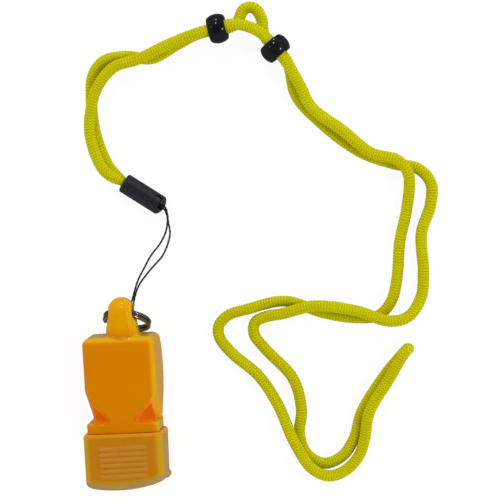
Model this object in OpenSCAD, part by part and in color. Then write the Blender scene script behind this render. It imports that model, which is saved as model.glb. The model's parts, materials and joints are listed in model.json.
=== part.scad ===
// Sports whistle with a soft mouth grip on a doubled neck cord.
// Frame: +Y runs from the mouthpiece to the lug, +Z is the front face's normal, X is the width.
// The whistle lies on its round belly, so Z = 0 is the surface that it and the cord lie on.
// The origin is under the middle of the whistle's own outline.

/* [Body] */
// Width of the hard body over its side walls
body_w = 21.5; // [19:0.5:26]
// Depth of the body from the front face to the lowest line of the belly
body_depth = 18; // [17:0.5:20]
// Length of the front plate from the end wall to the ledge
plate_len = 25.5; // [24:0.5:30]
// Length of the ledge between the windows and the grip
ledge_len = 3; // [2:0.5:5]
// Length of the mouthpiece inside the grip
mouth_len = 15.2; // [12:0.2:16]
// Depth of the mouthpiece at its open end
mouth_depth = 10.2; // [9:0.2:11.5]
// Depth of the mouthpiece where it meets the belly
throat_depth = 12.6; // [12:0.2:13.4]
// Radius of the round belly
belly_r = 15; // [14.5:0.5:16]
// Distance from the end wall's face to the middle of the belly
belly_back = 11; // [10.5:0.5:12.5]
// Radius along the edges of the front face and of the belly
edge_r = 1.6; // [0.8:0.1:2]

/* [Walls] */
// Thickness of the two side walls
side_wall = 1.4; // [1:0.1:2]
// Thickness of the front plate
front_wall = 1.8; // [1.2:0.1:2.2]
// Thickness of the end wall under the lug
end_wall = 1.6; // [1.2:0.1:2.4]
// Thickness of the belly and of the mouthpiece's underside
belly_wall = 1.5; // [1.2:0.1:2]
// Thickness of the two plates between the chambers
divider_t = 1.2; // [0.8:0.1:1.6]

/* [Windows] */
// Length of each front window along the side wall
window_len = 8.7; // [6:0.1:10]
// Depth of each front window down the side wall
window_drop = 10.5; // [8:0.1:11]
// Share of the front windows' depth at which the two shells meet
seam_share = 0.6; // [0.5:0.05:0.7]
// Width of the plate's neck between the two front windows
neck_w = 7.2; // [6:0.1:9]
// Length of the middle window in the belly
belly_window_len = 3.2; // [2.4:0.1:4]

/* [Windways] */
// Width of the land that is left on each side of a windway
windway_land = 0.5; // [0.3:0.1:0.9]
// Height of each windway
windway_h = 1.3; // [0.8:0.1:1.6]
// Depth of the side windways below the front plate's underside
windway_drop = 0.8; // [0.5:0.1:1.5]

/* [Lug] */
// Length of the lug past the end wall
lug_len = 11.5; // [10:0.5:14]
// Thickness of the lug across its rounded end
lug_t = 9; // [8:0.2:10]
// Distance from the front face down to the lug
lug_drop = 1; // [0.5:0.1:2]
// Width of the lug at its rounded tip
lug_tip_w = 7.6; // [6:0.2:9]
// Width of the lug where it meets the end wall
lug_base_w = 9.4; // [8:0.2:10]
// Distance of the lug's middle from the body's middle, across the body
lug_side = 1; // [0:0.1:2]
// Diameter of the bore across the lug
bore_d = 5.2; // [5:0.1:5.8]
// Distance from the lug's tip to the bore's axis
bore_back = 4.8; // [4.4:0.1:5.2]

/* [Ring] */
// Outer diameter of the split ring
ring_od = 14.5; // [14:0.1:15]
// Diameter of the ring's wire
wire_d = 1.1; // [0.8:0.1:1.2]
// Distance between the two turns of the ring
ring_pitch = 1.55; // [1.52:0.01:1.7]
// Lean of the hanging ring from upright towards the whistle
ring_lean = 27.5; // [26:0.5:30]
// Turn of the hanging ring about its own upright line
ring_skew = 8; // [0:1:8]
// Sideways place of the ring's middle from the lug's middle
ring_side = 0.7; // [0:0.1:0.8]

/* [Grip] */
// Length of the soft grip
grip_len = 17; // [16:0.5:19]
// Depth of the seat all round the mouthpiece that the grip sits in
grip_seat = 0.3; // [0.1:0.05:0.4]
// Wall of the soft grip
grip_wall = 1.65; // [1.2:0.05:2]
// Gap between the grip and the mouthpiece
grip_gap = 0.05; // [0.03:0.01:0.1]
// Number of ribs on the grip's front
rib_count = 6; // [3:1:7]
// Distance from one rib to the next
rib_pitch = 1.65; // [1.5:0.05:1.9]
// Length of each rib
rib_len = 14.4; // [10:0.2:17]
// Radius of each rib's round back
rib_r = 0.7; // [0.5:0.05:0.7]
// Height of the ribs over the grip's face
rib_rise = 0.35; // [0.2:0.05:0.5]
// Distance from the grip's mouth end to the nearest rib
rib_back = 4.6; // [4:0.1:6]
// Length of the lip under the grip's mouth end
lip_len = 2.4; // [1.6:0.1:3]
// Distance from the mouth end to the middle of the lip
lip_back = 2.4; // [1.8:0.1:3]
// Drop of the lip below the grip's underside
lip_drop = 1.8; // [1:0.1:2.4]

/* [Cord, string and beads] */
// Diameter of the neck cord
cord_d = 3; // [2.6:0.1:3]
// Diameter of each cord end where the ferrule grips it
pinch_d = 2.1; // [1.8:0.1:2.15]
// Diameter of the thin string
string_d = 0.5; // [0.4:0.05:0.5]
// Outer diameter of each bead
bead_d = 8.7; // [8.2:0.1:8.7]
// Length of each bead between its flat ends
bead_len = 7.3; // [6.5:0.1:7.6]
// Diameter of each bead's bore
bead_bore_d = 6.3; // [6.2:0.05:6.5]

/* [Ferrule] */
// Length of the ferrule
ferrule_len = 14.3; // [13.5:0.1:16]
// Width of the ferrule across its flats
ferrule_w = 5.8; // [5.6:0.1:5.8]
// Diameter of the bore that takes the two cord ends
ferrule_bore_d = 4.6; // [4.5:0.1:4.8]
// Length of the plug inside the ferrule
core_len = 5.6; // [4.5:0.1:6]
// Gap between the plug and the ferrule's bore
core_gap = 0.05; // [0.03:0.01:0.1]
// Diameter of the hole that the string runs through
string_hole_d = 1.6; // [1.4:0.1:2]
// Diameter of the string's knot
knot_d = 1.9; // [1.6:0.1:2]
// Length of the chamfer at the ferrule's cord end
chamfer = 0.6; // [0.3:0.1:0.8]
// Radius of the ferrule's domed string end
nose_r = 4.2; // [3.8:0.1:5]

/* [Hidden] */
$fn = 96;

// Overrun of every cut past the face that it opens
over = 1;

// Lines of the body along Y, from the lug's tip to the grip's mouth end
total_len = lug_len + plate_len + ledge_len + grip_len;
tip_y = total_len / 2;
end_y = tip_y - lug_len;
block_y = end_y - plate_len;
rim_y = block_y - ledge_len;
mouth_y = rim_y - mouth_len;
grip_end_y = rim_y - grip_len;

// Lines of the body along Z
front_z = body_depth;
seam_z = front_z - window_drop * seam_share;
plate_z = front_z - front_wall;
belly_y = end_y - belly_back;
throat_z = front_z - throat_depth;
throat_y = belly_y - sqrt(pow(belly_r, 2) - pow(belly_r - throat_z, 2));
under_slope = (throat_depth - mouth_depth) / (throat_y - mouth_y);

// Lines of the body along X
half_w = body_w / 2;
inner_w = body_w - 2 * side_wall;
divider_x = neck_w / 2;

// Windways
side_windway_z = plate_z - windway_drop;
side_chamber_w = (inner_w - neck_w - divider_t) / 2;
middle_chamber_w = neck_w - divider_t;
side_windway_x = (inner_w - side_chamber_w) / 2;
side_windway_w = side_chamber_w - 2 * windway_land;
middle_windway_w = middle_chamber_w - 2 * windway_land;

// Lug, bore and the hanging ring's own directions
lug_top_z = front_z - lug_drop;
bore_y = tip_y - bore_back;
bore_z = lug_top_z - lug_t / 2;
coil_r = (ring_od - wire_d) / 2;
hang = [0, -sin(ring_lean), -cos(ring_lean)];
flat_normal = [0, cos(ring_lean), -sin(ring_lean)];
ring_right = cos(ring_skew) * [1, 0, 0] - sin(ring_skew) * flat_normal;
ring_axis = cos(ring_skew) * flat_normal + sin(ring_skew) * [1, 0, 0];

// The wire's bow across the lug is shared above and below the bore's axis, and the hanging ring
// rests against the bore's wall on the side of the whistle
ring_reach = lug_tip_w / 2 + ring_side;
ring_bow = coil_r - sqrt(pow(coil_r, 2) - pow(ring_reach, 2));
ring_bow_share = 0.6;
ring_back = 0.2;
ring_centre = [lug_side + ring_side, bore_y, bore_z] + (coil_r - ring_bow * ring_bow_share) * hang
    - ring_back * flat_normal;

// Split ring: the wire turns 660 degrees, and its step from one turn to the next lies at 200 to 260
coil_start = -100;
coil_turn = 660;
coil_step_from = 200;
coil_step_turn = 60;
rings_per_loop = 24;
wire_sides = 6;

// Grip's ribs
rib_first_y = grip_end_y + rib_back;
grip_inner = grip_gap - grip_seat;
grip_grow = grip_inner + grip_wall;

// First strand of the doubled cord, from inside the ferrule to the fold at its far end
strand_one = [[6, 59.5, 1.8], [2.5, 62, 1.8], [-2, 67, 1.6], [-5.5, 77.5, 1.6], [-6, 88, 1.6],
    [-5, 94.5, 1.6], [-1.5, 98.5, 1.6], [5, 99.5, 1.6], [13, 98.5, 1.6], [20.5, 102, 1.6],
    [27.5, 105, 2.8], [38.5, 107, 2.8], [41.5, 111.5, 1.6], [44.5, 111.5, 1.6], [46.5, 108, 1.8],
    [47, 103.5, 2.8], [53.5, 95, 2.8], [55.5, 85, 1.6], [62.5, 76.5, 1.6], [73.5, 67.5, 1.6],
    [83, 63.5, 1.6], [90.5, 61.5, 1.6], [94, 57, 1.6], [93.5, 50.5, 1.6], [90.5, 42.5, 1.6],
    [90.5, 31, 1.6], [89.5, 23.5, 1.8], [85.5, 18, 3.4], [80, 17, 4.8], [70, 20.5, 4.8],
    [58, 22.5, 5.2], [48, 20.5, 3.8], [42.5, 19.5, 2], [39.5, 18, 1.6], [39, 14.5, 1.6],
    [42, 10, 1.6], [50, 0.5, 1.6], [52, -9, 1.6], [51, -16.5, 1.6], [53, -22.5, 1.6],
    [58, -25.5, 1.6], [63.5, -23.5, 1.6], [67.5, -18, 1.6], [70, -10.5, 1.6], [78, 1, 1.6],
    [83.5, 7, 1.6]];
// The fold, where the cord turns back over itself
fold = [[84.5, 8, 2.2], [85, 8.5, 3.3], [84.5, 8, 4.4]];
// Second strand, from inside the ferrule to the fold
strand_two = [[6, 59.5, 4], [2.5, 62, 4], [-3, 66, 4.8], [-6.5, 76.5, 4.8], [-5.5, 85.5, 4.8],
    [-3, 91.5, 4.6], [2, 96.5, 4.6], [9.5, 98.5, 4.8], [18, 102, 4.8], [27.5, 105, 5.9],
    [38.5, 107, 5.9], [43, 106, 5.7], [47, 103.5, 5.9], [53.5, 95, 5.9], [57, 88, 5],
    [60, 81.5, 4.6], [69, 74, 4.8], [77, 67, 4.8], [84.5, 64.5, 4.8], [87.5, 60.5, 4.8],
    [86.5, 50, 1.6], [84, 40.5, 1.6], [82.5, 29, 1.6], [80.5, 22.5, 1.6], [76.5, 18.5, 1.6],
    [70, 18, 1.6], [60, 20, 1.6], [49, 24, 1.6], [37, 22, 1.6], [31.5, 20.5, 1.6],
    [28.5, 17.5, 1.6], [28.5, 14, 1.6], [32, 9, 1.6], [39.5, 2, 1.6], [45, -7, 2],
    [49.5, -18, 4.8], [54.5, -26.5, 4.4], [59.5, -29, 3.6], [64.5, -27.5, 3], [68.5, -23.5, 2.8],
    [70.5, -18.5, 3.4], [72.5, -10, 4.6], [79, 0, 4.8], [83.5, 7, 5]];
cord_route = concat(strand_one, fold, reversed(strand_two));
cord_sides = 8;

// The string, from its knot in the ferrule, round the ring's lowest wires and back to the knot
string_out = [[7.3, 59, 2.9], [14.4, 54.1, 2.9], [14.9, 52, 1.9], [14.9, 49.5, 0.9], [15.2, 46, 0.5],
    [14.2, 42.5, 0.3], [12.3, 39, 0.3], [9.8, 36.5, 0.3], [7, 33.5, 0.3], [4.7, 30.5, 0.3],
    [3.1, 26.5, 0.3], [2.1, 21, 0.3]];
string_turn = [[1, 18.5, 0.3], [0.7, 16.6, 0.5], [0.5, 15.8, 1.6], [0.4, 16.4, 2.9], [0.5, 17.8, 3.1]];
string_back = [[6.9, 58.5, 2.9], [14, 53.6, 2.9], [14.9, 51, 2.3], [14.7, 49, 1.6], [14, 46.5, 1],
    [12, 43, 0.3], [9, 39.5, 0.3], [6.8, 36, 0.3], [4.5, 32, 0.3], [2.5, 26.5, 0.3],
    [1.6, 24, 0.7], [1.2, 21, 1.8], [0.7, 19.2, 2.6]];
string_route = concat(string_out, string_turn, reversed(string_back));
string_sides = 8;

// Ferrule: its mouth, its heading in plan and the height of its axis
ferrule_mouth = [2.5, 62];
ferrule_heading = -35;
ferrule_sides = 8;
knot_depth = 5.6;
core_depth = knot_depth + knot_d / 2;
window_depth = 11.5;
window_size = [2.2, 1.2];
notch_size = [1.8, 1.1];

// Beads: numbers of the route points at each end of their straight runs, and their share of the run
first_run = [10, 11];
first_run_two = [9, 10];
first_share = 0.54;
second_run = [15, 16];
second_run_two = [12, 13];
second_share = 0.5;

function reversed(list) = [for (i = [len(list) - 1:-1:0]) list[i]];
function unit(v) = v / norm(v);
function between(a, b, share) = a + (b - a) * share;
function smooth(share) = share * share * (3 - 2 * share);

// Heading of a path at one of its points, halfway between the two runs that meet there
function heading(path, i) = i == 0 ? unit(path[1] - path[0])
    : i == len(path) - 1 ? unit(path[i] - path[i - 1])
    : unit(unit(path[i] - path[i - 1]) + unit(path[i + 1] - path[i]));

// Change of heading at a point: its direction lies in the mitre plane
function bend(path, i) = i == 0 || i == len(path) - 1 ? [0, 0, 0]
    : unit(path[i + 1] - path[i]) - unit(path[i] - path[i - 1]);

// A side direction carried along the path, kept square to the heading at each point
function square_to(v, h) = unit(v - h * (v * h));
function carried(path, first) = [for (i = 0, s = square_to(first, heading(path, 0)); i < len(path);
    i = i + 1, s = i < len(path) ? square_to(s, heading(path, i)) : s) s];

// Stretch of a ring's point along the bend, which keeps the tube's width through a mitre
function mitred(v, b) = norm(b) == 0 ? v
    : v + unit(b) * (v * unit(b)) * (1 / sqrt(1 - pow(norm(b) / 2, 2)) - 1);

// One unbroken tube along a path, with a radius for each point
module tube(path, radii, sides, first) {
    side = carried(path, first);
    turn = 360 / sides;
    points = [for (i = [0:len(path) - 1]) let (h = heading(path, i), up = cross(h, side[i]))
        for (k = [0:sides - 1]) path[i]
            + radii[i] * mitred(cos((k + 0.5) * turn) * side[i] + sin((k + 0.5) * turn) * up, bend(path, i))];
    last = (len(path) - 1) * sides;
    walls = [for (i = [0:len(path) - 2]) for (k = [0:sides - 1])
        let (a = i * sides + k, b = i * sides + (k + 1) % sides)
            each [[a, a + sides, b + sides], [a, b + sides, b]]];
    ends = [for (k = [1:sides - 2]) each [[0, k, k + 1], [last, last + k + 1, last + k]]];
    polyhedron(points, concat(walls, ends));
}

// A point of the ring's wire at an angle from its top, in the hanging ring's directions
function wire_share(a) = a < coil_step_from ? 0
    : a > coil_step_from + coil_step_turn ? 1 : smooth((a - coil_step_from) / coil_step_turn);
function wire_point(a) = ring_centre + coil_r * (sin(a) * ring_right - cos(a) * hang)
    + (wire_share(a) - 0.5) * ring_pitch * ring_axis;
wire_angle = 360 / rings_per_loop;
wire_turned = [for (a = [coil_start:wire_angle:coil_start + coil_turn]) wire_point(a)];
wire_first = wire_turned[0];
wire_last = wire_turned[len(wire_turned) - 1];
wire_path = concat([wire_first + wire_d * unit(wire_first - wire_turned[1])], wire_turned,
    [wire_last + wire_d * unit(wire_last - wire_turned[len(wire_turned) - 2])]);

// Least distance between two runs of the wire that are half a loop or more apart, less the wire
function least_gap(path, apart, d) = min([for (i = [0:len(path) - 1 - apart])
    for (j = [i + apart:len(path) - 1]) norm(path[i] - path[j])]) - d;
echo(least_gap_of_the_ring_to_itself = least_gap(wire_path, rings_per_loop / 2, wire_d));
function sum_of(list) = list * [for (i = list) 1];
cord_runs = [for (i = [1:len(cord_route) - 1]) norm(cord_route[i] - cord_route[i - 1])];
echo(length_of_the_cord = sum_of(cord_runs));

// Outline of the mouthpiece in YZ between two lines, grown all round
module mouth_outline(from_y, to_y, grow) {
    lift = grow * norm([1, under_slope]);
    polygon([[from_y, throat_z + (throat_y - from_y) * under_slope - lift],
        [to_y, throat_z + (throat_y - to_y) * under_slope - lift],
        [to_y, front_z + grow], [from_y, front_z + grow]]);
}

// A solid with the YZ outline of its children, centred on X
module across(w) {
    rotate([90, 0, 90]) linear_extrude(w, center = true) children();
}

// The room under the front face between two side lines, with round front edges, along all of Y
module front_room(w, top, r, from_y, to_y, floor_z) {
    translate([0, to_y, 0]) rotate([90, 0, 0]) linear_extrude(to_y - from_y) union() {
        for (side = [-1, 1]) translate([side * (w / 2 - r), top - r]) circle(r);
        translate([-w / 2 + r, floor_z]) square([w - 2 * r, top - floor_z]);
        translate([-w / 2, floor_z]) square([w, top - r - floor_z]);
    }
}

// The mouthpiece, grown all round; the grip's inside and outside come from the same shape
module mouthpiece(from_y, to_y, grow) {
    intersection() {
        across(body_w + 2 * grow) mouth_outline(from_y, to_y, grow);
        front_room(body_w + 2 * grow, front_z + grow, edge_r + grow, from_y, to_y, -over);
    }
}

// The round belly with its rounded edges, as a drum across the body
module drum(r, w, fillet) {
    translate([0, belly_y, belly_r]) rotate([90, 0, 90]) rotate_extrude() union() {
        translate([0, -w / 2]) square([r - fillet, w]);
        translate([0, -w / 2 + fillet]) square([r, w - 2 * fillet]);
        for (side = [-1, 1]) translate([r - fillet, side * (w / 2 - fillet)]) circle(fillet);
    }
}

// The hard body's whole outside, without the lug
module body_outside() {
    intersection() {
        union() {
            drum(belly_r, body_w, edge_r);
            mouthpiece(rim_y, throat_y, 0);
            mouthpiece(mouth_y, rim_y, -grip_seat);
        }
        front_room(body_w, front_z, edge_r, mouth_y, end_y, -over);
    }
}

// The space inside the walls, from the end wall through to the open mouth
module body_inside() {
    lift = belly_wall * norm([1, under_slope]);
    floor_z = throat_z + lift;
    intersection() {
        union() {
            intersection() {
                translate([0, belly_y, belly_r]) rotate([90, 0, 90])
                    cylinder(r = belly_r - belly_wall, h = inner_w, center = true);
                translate([-half_w, block_y, 0]) cube([body_w, end_y - end_wall - block_y, front_z]);
            }
            across(inner_w) polygon([[mouth_y - over, floor_z + (throat_y - mouth_y + over) * under_slope],
                [throat_y, floor_z], [throat_y, front_z], [mouth_y - over, front_z]]);
        }
        translate([-half_w, mouth_y - over, 0]) cube([body_w, total_len, plate_z]);
    }
}

// One front window: a slanting cut through the plate's corner, stopped at the block's face
module window_cut(side) {
    a = [half_w, block_y + window_len, front_z];
    b = [neck_w / 2, block_y, front_z];
    c = [half_w, block_y, front_z - window_drop];
    out = unit(cross(b - a, c - a));
    reach = body_w + body_depth;
    mirror([side < 0 ? 1 : 0, 0, 0]) intersection() {
        translate(a) rotate([0, acos(out.z), atan2(out.y, out.x)]) translate([-reach, -reach, 0])
            cube([2 * reach, 2 * reach, reach]);
        translate([0, block_y, 0]) cube([half_w + over, plate_len, front_z + over]);
    }
}

// The hollow body with its three windows; the middle one is cut up through the belly's wall only
module hollow_body() {
    difference() {
        body_outside();
        body_inside();
        for (side = [-1, 1]) window_cut(side);
        translate([-middle_chamber_w / 2, block_y, -over])
            cube([middle_chamber_w, belly_window_len, belly_r]);
    }
}

// The lug's outline from the front: a round tip on a base that widens to the end wall
module lug_front() {
    tip_r = lug_tip_w / 2;
    translate([0, tip_y - tip_r]) circle(tip_r);
    polygon([[-lug_base_w / 2, end_y], [lug_base_w / 2, end_y],
        [tip_r, tip_y - tip_r], [-tip_r, tip_y - tip_r]]);
}

// The lug's outline from the side: a full round end, straight back to the end wall
module lug_profile() {
    end_r = lug_t / 2;
    translate([tip_y - end_r, bore_z]) circle(end_r);
    translate([end_y, bore_z - end_r]) square([lug_len - end_r, lug_t]);
}

module lug() {
    translate([lug_side, 0, 0]) difference() {
        intersection() {
            linear_extrude(front_z) lug_front();
            across(body_w) lug_profile();
        }
        translate([0, bore_y, bore_z]) rotate([0, 90, 0]) cylinder(d = bore_d, h = body_w, center = true);
    }
}

module front_shell() {
    color("orange") union() {
        intersection() {
            hollow_body();
            translate([-body_w, -total_len, seam_z]) cube([2 * body_w, 2 * total_len, body_depth]);
        }
        lug();
    }
}

module belly_shell() {
    color("darkorange") intersection() {
        hollow_body();
        translate([-body_w, -total_len, -over]) cube([2 * body_w, 2 * total_len, seam_z + over]);
    }
}

// A plate between two chambers: the inside's own slice at the divider's place
module divider(side) {
    color("darkorange") intersection() {
        body_inside();
        translate([side * divider_x - divider_t / 2, block_y, -over])
            cube([divider_t, plate_len, front_z + over]);
    }
}

module divider_left() {
    divider(-1);
}

module divider_right() {
    divider(1);
}

// The block that fills the mouthpiece, with a windway for each chamber
module windway_block() {
    length = block_y - mouth_y + 2 * over;
    color("orange") difference() {
        intersection() {
            body_inside();
            translate([-half_w, mouth_y, 0]) cube([body_w, block_y - mouth_y, front_z]);
        }
        for (side = [-1, 1]) translate([side * side_windway_x - side_windway_w / 2, mouth_y - over,
            side_windway_z - windway_h]) cube([side_windway_w, length, windway_h]);
        middle_windway();
    }
}

// The middle windway follows the slope of the mouthpiece's underside
module middle_windway() {
    low = throat_z + belly_wall * norm([1, under_slope]) + windway_drop;
    from_z = low + (throat_y - mouth_y + over) * under_slope;
    to_z = low + (throat_y - block_y - over) * under_slope;
    across(middle_windway_w) polygon([[mouth_y - over, from_z], [block_y + over, to_z],
        [block_y + over, to_z + windway_h], [mouth_y - over, from_z + windway_h]]);
}

// The soft grip: a sleeve over the mouthpiece, with ribs in front and a lip below its mouth end
module mouth_grip() {
    lip_y = grip_end_y + lip_back;
    lip_z = throat_z + (throat_y - lip_y) * under_slope - grip_grow;
    color("burlywood") difference() {
        union() {
            mouthpiece(grip_end_y, rim_y, grip_grow);
            for (i = [0:rib_count - 1])
                translate([0, rib_first_y + i * rib_pitch, front_z + grip_grow + rib_rise - rib_r])
                    rotate([0, 90, 0]) cylinder(r = rib_r, h = rib_len, center = true);
            translate([0, lip_y, lip_z - lip_drop + lip_len / 2]) rotate([0, 90, 0])
                cylinder(d = lip_len, h = body_w + 2 * grip_grow, center = true);
            translate([-half_w - grip_grow, lip_y - lip_len / 2, lip_z - lip_drop + lip_len / 2])
                cube([body_w + 2 * grip_grow, lip_len, lip_drop]);
        }
        mouthpiece(grip_end_y - over, rim_y + over, grip_inner);
    }
}

module split_ring() {
    color("dimgray") tube(wire_path, [for (p = wire_path) wire_d / 2], wire_sides, ring_axis);
}

module string_loop() {
    color("black") tube(string_route, [for (p = string_route) string_d / 2], string_sides, [0, 0, 1]);
}

// The ferrule's own frame: its axis runs from the cord's mouth towards the string
module in_ferrule(depth) {
    translate([ferrule_mouth.x, ferrule_mouth.y, ferrule_w / 2]) rotate([0, 90, ferrule_heading])
        translate([0, 0, depth]) children();
}

module string_knot() {
    color("black") in_ferrule(knot_depth) sphere(d = knot_d);
}

// The ferrule's sleeve: an eight-sided bar with a chamfered mouth and a domed string end
module ferrule_sleeve() {
    corner_r = ferrule_w / 2 / cos(180 / ferrule_sides);
    bore_len = core_depth + core_len;
    color("darkslategray") in_ferrule(0) difference() {
        intersection() {
            rotate([0, 0, 180 / ferrule_sides]) cylinder(r = corner_r, h = ferrule_len, $fn = ferrule_sides);
            rotate_extrude() polygon([[0, 0], [corner_r - chamfer, 0], [corner_r + over, chamfer + over],
                [corner_r + over, ferrule_len], [0, ferrule_len]]);
            union() {
                translate([0, 0, ferrule_len - nose_r]) sphere(nose_r);
                cylinder(r = nose_r, h = ferrule_len - nose_r);
            }
        }
        translate([0, 0, -over]) cylinder(d = ferrule_bore_d, h = bore_len + over);
        cylinder(d = string_hole_d, h = ferrule_len + over);
        rotate([0, 0, -360 / ferrule_sides])
            translate([-corner_r - over, -window_size.y / 2, window_depth - window_size.x / 2])
                cube([corner_r + over, window_size.y, window_size.x]);
        translate([-corner_r - over, -notch_size.y / 2, ferrule_len - notch_size.x])
            cube([corner_r + over, notch_size.y, notch_size.x + over]);
    }
}

module ferrule_core() {
    color("dimgray") in_ferrule(core_depth) difference() {
        cylinder(d = ferrule_bore_d - 2 * core_gap, h = core_len);
        translate([0, 0, -over]) cylinder(d = string_hole_d, h = core_len + 2 * over);
    }
}

// The doubled cord, one unbroken tube; the ferrule pinches the two rings at each end
module lanyard_cord() {
    n = len(cord_route);
    radii = [for (i = [0:n - 1]) (i < 2 || i > n - 3 ? pinch_d : cord_d) / 2];
    color("yellow") tube(cord_route, radii, cord_sides, [0, 0, 1]);
}

// A bead round both strands, on the straight run between two of the route's points
module bead(run, run_two, share) {
    a = (strand_one[run.x] + strand_two[run_two.x]) / 2;
    b = (strand_one[run.y] + strand_two[run_two.y]) / 2;
    color("black") translate(between(a, b, share)) rotate([0, 90, atan2(b.y - a.y, b.x - a.x)])
        difference() {
            intersection() {
                sphere(d = bead_d);
                cylinder(d = bead_d + over, h = bead_len, center = true);
            }
            cylinder(d = bead_bore_d, h = bead_len + over, center = true);
        }
}

module bead_first() {
    bead(first_run, first_run_two, first_share);
}

module bead_second() {
    bead(second_run, second_run_two, second_share);
}

front_shell();
belly_shell();
divider_left();
divider_right();
windway_block();
mouth_grip();
split_ring();
string_loop();
string_knot();
ferrule_sleeve();
ferrule_core();
lanyard_cord();
bead_first();
bead_second();
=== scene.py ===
# %% [markdown]
# # A sports whistle on a neck cord
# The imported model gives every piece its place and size. This lesson dresses it: each cell makes one
# piece or one finish and says why it is made that way. Shapes are worked out in millimetres, as a
# maker would measure them, and become metres only when they are put into a mesh.

# %% The frame
import json
import math

import bpy
import numpy as np
from mathutils import Matrix, Vector

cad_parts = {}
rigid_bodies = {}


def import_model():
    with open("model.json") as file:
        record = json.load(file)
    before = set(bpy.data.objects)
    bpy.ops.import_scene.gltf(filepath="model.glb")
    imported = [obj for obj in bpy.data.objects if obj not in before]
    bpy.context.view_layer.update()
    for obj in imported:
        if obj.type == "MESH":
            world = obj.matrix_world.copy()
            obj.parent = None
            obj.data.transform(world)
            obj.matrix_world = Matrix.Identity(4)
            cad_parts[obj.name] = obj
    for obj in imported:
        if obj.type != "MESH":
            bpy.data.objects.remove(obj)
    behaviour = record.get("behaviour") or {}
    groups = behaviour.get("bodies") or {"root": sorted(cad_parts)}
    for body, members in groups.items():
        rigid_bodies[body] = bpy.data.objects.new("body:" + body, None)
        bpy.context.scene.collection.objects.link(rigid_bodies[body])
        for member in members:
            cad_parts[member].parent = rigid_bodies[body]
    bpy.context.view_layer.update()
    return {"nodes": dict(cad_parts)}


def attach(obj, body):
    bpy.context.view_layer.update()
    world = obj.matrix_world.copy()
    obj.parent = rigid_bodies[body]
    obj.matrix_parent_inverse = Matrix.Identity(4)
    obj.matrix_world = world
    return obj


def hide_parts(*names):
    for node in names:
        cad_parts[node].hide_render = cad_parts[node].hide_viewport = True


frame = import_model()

mm = 0.001
print("nodes in the frame:", len(frame["nodes"]))

# %% [markdown]
# ## Camera
# The whistle was photographed from nearly straight above, from a little to its right and beyond its
# lug, so its right wall and its end wall show as thin strips. The place and the angle of view are those
# at which the model's corners fall on the photographed ones.

# %% Camera
camera_place = Vector((101.7, 87.2, 600)) * mm
camera_target = Vector((39, 39.7, 0)) * mm
camera_up = Vector((0.0558, 0.9984, 0))
camera_angle = math.radians(14.13)

ahead = (camera_target - camera_place).normalized()
right = ahead.cross(camera_up).normalized()
turned = Matrix((right, right.cross(ahead), -ahead)).transposed().to_4x4()
camera = bpy.data.objects.new("camera", bpy.data.cameras.new("camera"))
camera.data.angle = camera_angle
camera.data.clip_start = 0.01
camera.matrix_world = Matrix.Translation(camera_place) @ turned
bpy.context.collection.objects.link(camera)
bpy.context.scene.camera = camera
print("camera lens:", round(camera.data.lens, 1))

# %% [markdown]
# ## Shader sums
# A finish is easier to read as a sum than as a web of nodes. The class below wraps one socket of a
# shader, so that `1 - mask` adds its own Math node. Every other node comes from `make`, which sets the
# node's settings first and then the values or links of its sockets.

# %% A socket that can be added and multiplied
class Socket:
    """One output of a shader's node, or an empty start from which nodes are made."""

    def __init__(self, tree, output=None):
        self.tree = tree
        self.output = output

    def make(self, kind, settings=None, inlets=None, outlet=0):
        """Adds a node of one kind: settings first, then a value or a link for each named inlet."""
        node = self.tree.nodes.new(kind)
        for name, value in (settings or {}).items():
            setattr(node, name, value)
        for name, value in (inlets or {}).items():
            if isinstance(value, Socket):
                self.tree.links.new(value.output, node.inputs[name])
            else:
                node.inputs[name].default_value = value
        return Socket(self.tree, node.outputs[outlet] if node.outputs else None)

    def maths(self, operation, *values):
        """A Math node whose inlets are these values, in order."""
        return self.make("ShaderNodeMath", {"operation": operation}, dict(enumerate(values)))

    # Each sign adds one Math node. The reflected forms serve a plain number on the left, as in 1 - mask.
    def __add__(self, other):
        return self.maths("ADD", self, other)

    def __radd__(self, other):
        return self.maths("ADD", other, self)

    def __sub__(self, other):
        return self.maths("SUBTRACT", self, other)

    def __rsub__(self, other):
        return self.maths("SUBTRACT", other, self)

    def __mul__(self, other):
        return self.maths("MULTIPLY", self, other)

    def __rmul__(self, other):
        return self.maths("MULTIPLY", other, self)

    def fraction(self):
        """What is left of the value over its last whole number."""
        return self.maths("FRACT", self)

    def size(self):
        """The value without its sign."""
        return self.maths("ABSOLUTE", self)

    def cosine(self):
        """Cosine of the value, in radians."""
        return self.maths("COSINE", self)

    def clamped(self, low, high):
        """Runs from 0 to 1 as the value goes from low to high, and stays there outside them."""
        inlets = {"Value": self, "From Min": low, "From Max": high}
        return self.make("ShaderNodeMapRange", {"interpolation_type": "SMOOTHSTEP"}, inlets)

    def between(self, first, second):
        """A colour that is the first where this mask is 0 and the second where it is 1."""
        inlets = {"Factor": self, 6: first, 7: second}
        return self.make("ShaderNodeMix", {"data_type": "RGBA"}, inlets, outlet=2)


# %% [markdown]
# ## Starting a finish
# Every finish starts from the same few things: the point on the object, some noise, and at the end one
# Principled shader with a Bump node. Numbers that are the same all over are set on the shader itself.

# %% Helpers for finishes
def new_tree(name):
    """An empty material with its output, and a Socket from which its nodes are made."""
    material = bpy.data.materials.new(name)
    material.use_nodes = True
    material.node_tree.nodes.clear()
    return material, Socket(material.node_tree)


def finish_surface(start, colour, roughness, height, depth, constants=None, links=None):
    """Ends a material: a Principled shader whose bump has this height, with its depth in metres."""
    bump = start.make("ShaderNodeBump", {}, {"Strength": 1.0, "Distance": depth, "Height": height})
    inlets = {"Base Color": colour, "Roughness": roughness, "Normal": bump}
    shader = start.make("ShaderNodeBsdfPrincipled", {}, {**inlets, **(constants or {}), **(links or {})})
    start.make("ShaderNodeOutputMaterial", {}, {"Surface": shader})


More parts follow.
